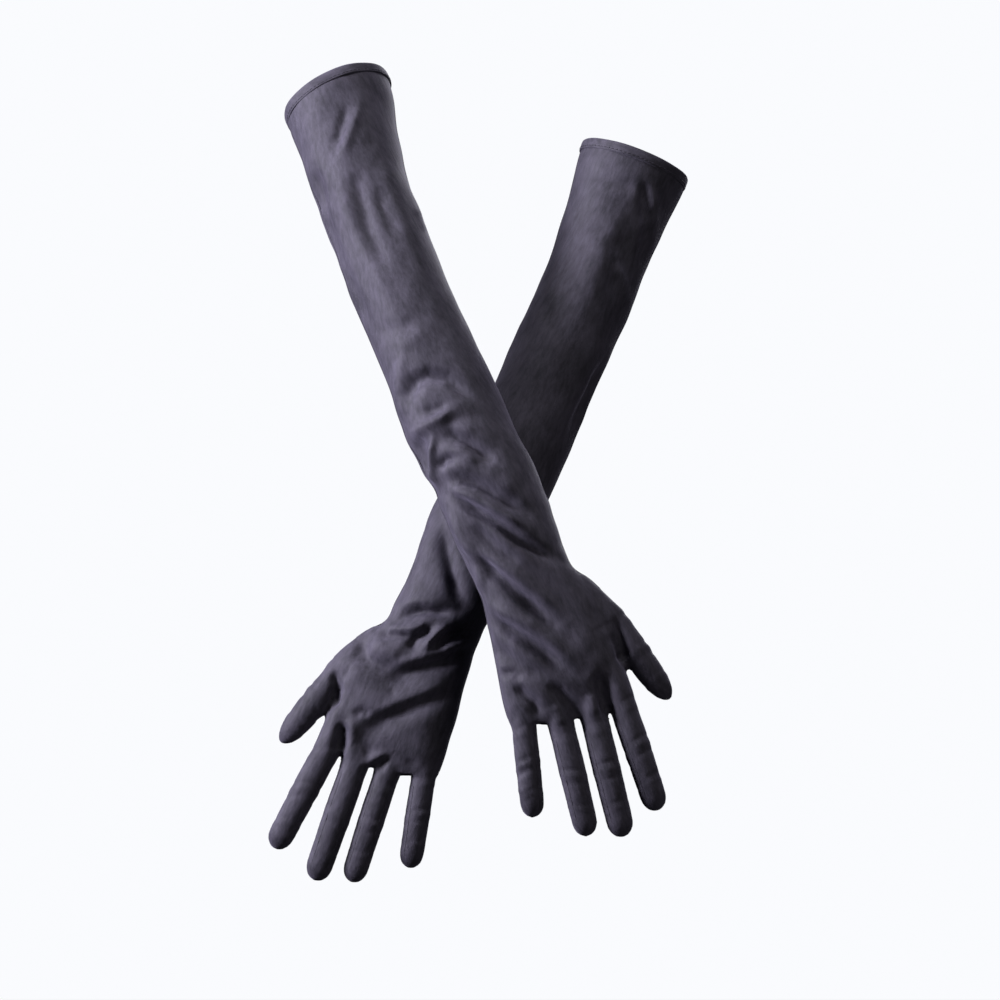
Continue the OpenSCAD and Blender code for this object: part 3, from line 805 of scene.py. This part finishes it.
# ---- materials ----
def fabric(name, dark, light, sheen, rib_pitch, lean):
    """Knitted satin: mottle and slubs in the colour, slubs and ribs in the bump, a lilac sheen."""
    material = bpy.data.materials.new(name)
    material.use_nodes = True
    nodes, links = material.node_tree.nodes, material.node_tree.links
    shader = nodes["Principled BSDF"]
    place = nodes.new("ShaderNodeTexCoord")
    turn = nodes.new("ShaderNodeMapping")
    turn.inputs["Rotation"].default_value = (0, math.radians(lean), 0)
    links.new(place.outputs["Object"], turn.inputs["Vector"])

    mottle = nodes.new("ShaderNodeTexNoise")
    mottle.inputs["Scale"].default_value = 38
    mottle.inputs["Detail"].default_value = 6
    mottle.inputs["Roughness"].default_value = 0.6
    links.new(place.outputs["Object"], mottle.inputs["Vector"])
    tones = nodes.new("ShaderNodeValToRGB")
    tones.color_ramp.elements[0].position = 0.36
    tones.color_ramp.elements[0].color = (*dark, 1)
    tones.color_ramp.elements[1].position = 0.64
    tones.color_ramp.elements[1].color = (*light, 1)
    links.new(tones.outputs["Color"], shader.inputs["Base Color"])

    # slubs: short soft streaks of a few millimetres, in the colour and the height
    slub_place = nodes.new("ShaderNodeMapping")
    slub_place.inputs["Scale"].default_value = (1, 1, 0.3)
    links.new(turn.outputs["Vector"], slub_place.inputs["Vector"])
    slub = nodes.new("ShaderNodeTexNoise")
    slub.inputs["Scale"].default_value = 330
    slub.inputs["Detail"].default_value = 4
    slub.inputs["Roughness"].default_value = 0.65
    links.new(slub_place.outputs["Vector"], slub.inputs["Vector"])
    tone = nodes.new("ShaderNodeMath")
    tone.operation = "MULTIPLY_ADD"
    tone.inputs[1].default_value = 0.55
    links.new(slub.outputs["Fac"], tone.inputs[0])
    mottle_share = nodes.new("ShaderNodeMath")
    mottle_share.operation = "MULTIPLY"
    mottle_share.inputs[1].default_value = 0.45
    links.new(mottle.outputs["Fac"], mottle_share.inputs[0])
    links.new(mottle_share.outputs[0], tone.inputs[2])
    links.new(tone.outputs[0], tones.inputs["Fac"])
    slub_bump = nodes.new("ShaderNodeBump")
    slub_bump.inputs["Strength"].default_value = 0.55
    slub_bump.inputs["Distance"].default_value = 0.0006
    links.new(slub.outputs["Fac"], slub_bump.inputs["Height"])

    # ribs run along the glove, and courses across it
    heights = []
    for direction, pitch, share in (("X", rib_pitch, 1.0), ("Z", rib_pitch * 1.3, 0.5)):
        wave = nodes.new("ShaderNodeTexWave")
        wave.wave_type = "BANDS"
        wave.bands_direction = direction
        wave.inputs["Scale"].default_value = 2 * math.pi / (20 * pitch * MM)
        wave.inputs["Distortion"].default_value = 0.6
        wave.inputs["Detail"].default_value = 1.5
        wave.inputs["Detail Scale"].default_value = 0.4
        links.new(turn.outputs["Vector"], wave.inputs["Vector"])
        part = nodes.new("ShaderNodeMath")
        part.operation = "MULTIPLY"
        part.inputs[1].default_value = share
        links.new(wave.outputs["Fac"], part.inputs[0])
        heights.append(part)
    grain = nodes.new("ShaderNodeTexNoise")
    grain.inputs["Scale"].default_value = 900
    grain.inputs["Detail"].default_value = 3
    links.new(place.outputs["Object"], grain.inputs["Vector"])
    ribs = nodes.new("ShaderNodeMath")
    ribs.operation = "ADD"
    links.new(heights[0].outputs[0], ribs.inputs[0])
    links.new(heights[1].outputs[0], ribs.inputs[1])
    ribs_and_grain = nodes.new("ShaderNodeMath")
    ribs_and_grain.operation = "ADD"
    links.new(ribs.outputs[0], ribs_and_grain.inputs[0])
    links.new(grain.outputs["Fac"], ribs_and_grain.inputs[1])
    bump = nodes.new("ShaderNodeBump")
    bump.inputs["Strength"].default_value = 0.4
    bump.inputs["Distance"].default_value = 0.0001
    links.new(slub_bump.outputs["Normal"], bump.inputs["Normal"])
    links.new(ribs_and_grain.outputs[0], bump.inputs["Height"])
    links.new(bump.outputs["Normal"], shader.inputs["Normal"])

    rough = nodes.new("ShaderNodeMapRange")
    rough.inputs["To Min"].default_value = 0.58
    rough.inputs["To Max"].default_value = 0.76
    links.new(mottle.outputs["Fac"], rough.inputs["Value"])
    links.new(rough.outputs["Result"], shader.inputs["Roughness"])
    shader.inputs["Specular IOR Level"].default_value = 0.16
    shader.inputs["Sheen Weight"].default_value = sheen
    shader.inputs["Sheen Roughness"].default_value = 0.5
    shader.inputs["Sheen Tint"].default_value = (0.78, 0.72, 1.0, 1)
    return material


DARK, LIGHT = (0.014, 0.013, 0.018), (0.042, 0.038, 0.052)
HAND_LEAN = {"right": 21.0, "left": -24.5}
cloth_look = {
    side: fabric(f"{side}_stretch_satin", DARK, LIGHT, 0.14, 0.55, lean)
    for side, lean in HAND_LEAN.items()
}
fork_look = {
    side: fabric(f"{side}_fork_satin", DARK, LIGHT, 0.12, 0.5, lean + 60)
    for side, lean in HAND_LEAN.items()
}
hem_look = {
    side: fabric(f"{side}_hem_satin", DARK, LIGHT, 0.14, 0.55, lean + 90)
    for side, lean in HAND_LEAN.items()
}
thread_look = fabric("thread", (0.013, 0.012, 0.016), (0.034, 0.031, 0.042), 0.1, 0.25, 40)

# ---- build both gloves ----
# Pieces of cloth: the CAD nodes that each one stands for, and its flat size in metres
SHEETS = {
    "back_panel": (("sleeve_back", "hand_back"), (0.108, 0.445)),
    "underside_panel": (("sleeve_underside", "hand_palm", "thumb_base"), (0.104, 0.445)),
    "index_back": (("index_back",), (0.0175, 0.078)),
    "index_front": (("index_front",), (0.0175, 0.078)),
    "index_fork": (("index_fork",), (0.0135, 0.076)),
    "middle_back": (("middle_back",), (0.0125, 0.082)),
    "middle_front": (("middle_front",), (0.0125, 0.082)),
    "middle_inner_fork": (("middle_inner_fork",), (0.013, 0.08)),
    "middle_outer_fork": (("middle_outer_fork",), (0.013, 0.08)),
    "ring_back": (("ring_back",), (0.0118, 0.075)),
    "ring_front": (("ring_front",), (0.0118, 0.075)),
    "ring_inner_fork": (("ring_inner_fork",), (0.0122, 0.074)),
    "ring_outer_fork": (("ring_outer_fork",), (0.0122, 0.074)),
    "little_back": (("little_back",), (0.0163, 0.063)),
    "little_front": (("little_front",), (0.0163, 0.063)),
    "little_fork": (("little_fork",), (0.012, 0.062)),
    "thumb": (("thumb",), (0.053, 0.0273)),
}
DIGIT_BEND_LENGTH = 17.0


def at(point):
    return tuple(float(x) * MM for x in point)


def blend_digit(piece, glove, name):
    start = THUMB_CUT if name == "thumb" else FINGER_CUT
    middle, _, _ = glove.digit_axis(name, np.array([start, start + DIGIT_BEND_LENGTH]))
    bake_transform(piece)


def blend_wrist(piece):
    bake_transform(piece)


for glove in GLOVES:
    points, faces = filled_shape(glove)
    normals = vertex_normals(points, faces)
    points = points + normals * fold_heights(glove, points, normals)[:, None]
    normals = vertex_normals(points, faces)
    tree = BVHTree.FromPolygons(points.tolist(), faces.tolist())
    names = sort_faces(glove, points, faces)
    sleeve, hand = f"{glove.name}_sleeve", f"{glove.name}_hand"
    for part, (nodes_named, flat) in SHEETS.items():
        piece = cloth_piece(f"{glove.name}_{part}_cloth", points, normals, faces[names == part])
        digit_name = part.split("_")[0]
        if digit_name in DIGITS:
            blend_digit(piece, glove, digit_name)
        else:
            blend_wrist(piece)
        look = fork_look if "fork" in part else cloth_look
        piece.data.materials.append(look[glove.name])
        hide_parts(*[f"{glove.name}_{n}" for n in nodes_named])

    for thumb_side in (True, False):
        seam = side_seam(glove, tree, thumb_side)
        blend_wrist(seam)
        seam.data.materials.append(thread_look)
        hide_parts(f"{glove.name}_{'inner' if thumb_side else 'outer'}_seam")
    seam_angles = {
        "index": (180 - FORK_EDGE, 180 + FORK_EDGE),
        "middle": (FORK_EDGE, -FORK_EDGE, 180 - FORK_EDGE, 180 + FORK_EDGE),
        "ring": (FORK_EDGE, -FORK_EDGE, 180 - FORK_EDGE, 180 + FORK_EDGE),
        "little": (FORK_EDGE, -FORK_EDGE, 180),
        "thumb": (180,),
    }
    for digit_name, angles in seam_angles.items():
        start = THUMB_SEAM_START if digit_name == "thumb" else FINGER_SEAM_START
        seam = digit_seams(glove, tree, digit_name, angles, start)
        blend_digit(seam, glove, digit_name)
        seam.data.materials.append(thread_look)
        if digit_name == "thumb":
            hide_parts(f"{glove.name}_thumb_seam")

    hem = cuff_hem(glove)
    hem.data.materials.append(hem_look[glove.name])
    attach(hem, sleeve)
    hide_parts(f"{glove.name}_cuff_hem")
    stitches = hem_stitches(glove)
    stitches.data.materials.append(thread_look)
    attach(stitches, sleeve)
    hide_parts(f"{glove.name}_hem_stitching")

# ---- floor and light ----
# The floor and the room show one pale colour. The floor glows, and neither lights the cloth with it.
FLOOR_DROP = 0.9
FLOOR_GLOW = 0.97
BACKDROP = (0.955, 0.965, 0.99)
floor_mesh = bpy.data.meshes.new("floor")
floor_mesh.from_pydata([(-15, -15, 0), (15, -15, 0), (15, 15, 0), (-15, 15, 0)], [], [(0, 1, 2, 3)])
floor = bpy.data.objects.new("floor", floor_mesh)
floor.location = (0, 0, cad_box[0][2] - FLOOR_DROP)
bpy.context.collection.objects.link(floor)
floor_look = bpy.data.materials.new("pale_floor")
floor_look.use_nodes = True
floor_shader = floor_look.node_tree.nodes["Principled BSDF"]
floor_shader.inputs["Base Color"].default_value = (0.02, 0.02, 0.02, 1)
floor_shader.inputs["Roughness"].default_value = 1.0
floor_shader.inputs["Specular IOR Level"].default_value = 0.0
floor_shader.inputs["Emission Color"].default_value = (*BACKDROP, 1)
floor_shader.inputs["Emission Strength"].default_value = FLOOR_GLOW
floor.visible_diffuse = False
floor.visible_glossy = False
floor_mesh.materials.append(floor_look)

world = bpy.data.worlds.new("pale_room")
bpy.context.scene.world = world
world.use_nodes = True
room_nodes, room_links = world.node_tree.nodes, world.node_tree.links
lit = room_nodes["Background"]
lit.inputs["Color"].default_value = (0.86, 0.86, 1.0, 1)
lit.inputs["Strength"].default_value = 0.06
seen = room_nodes.new("ShaderNodeBackground")
seen.inputs["Color"].default_value = (*BACKDROP, 1)
ray = room_nodes.new("ShaderNodeLightPath")
either = room_nodes.new("ShaderNodeMixShader")
room_links.new(ray.outputs["Is Camera Ray"], either.inputs["Fac"])
room_links.new(lit.outputs[0], either.inputs[1])
room_links.new(seen.outputs[0], either.inputs[2])
room_links.new(either.outputs[0], room_nodes["World Output"].inputs["Surface"])
bpy.context.scene.view_settings.view_transform = "Standard"


def area_light(name, place, size, power, colour):
    data = bpy.data.lights.new(name, "AREA")
    data.shape = "DISK"
    data.size = size
    data.energy = power
    data.color = colour
    light = bpy.data.objects.new(name, data)
    light.location = place
    target = Vector(LOOK_AT) * MM
    light.rotation_euler = (target - light.location).to_track_quat("-Z", "Y").to_euler()
    bpy.context.collection.objects.link(light)


area_light("key", (-1.65, -0.5, 0.3), 0.5, 106, (0.90, 0.88, 1.0))
area_light("fill", (0.9, -1.6, 0.2), 0.9, 8, (1.0, 0.97, 0.96))
area_light("top", (-0.3, -0.4, 1.5), 0.4, 28, (0.97, 0.96, 1.0))
area_light("back", (0.6, 1.5, 0.5), 1.0, 12, (0.95, 0.95, 1.0))
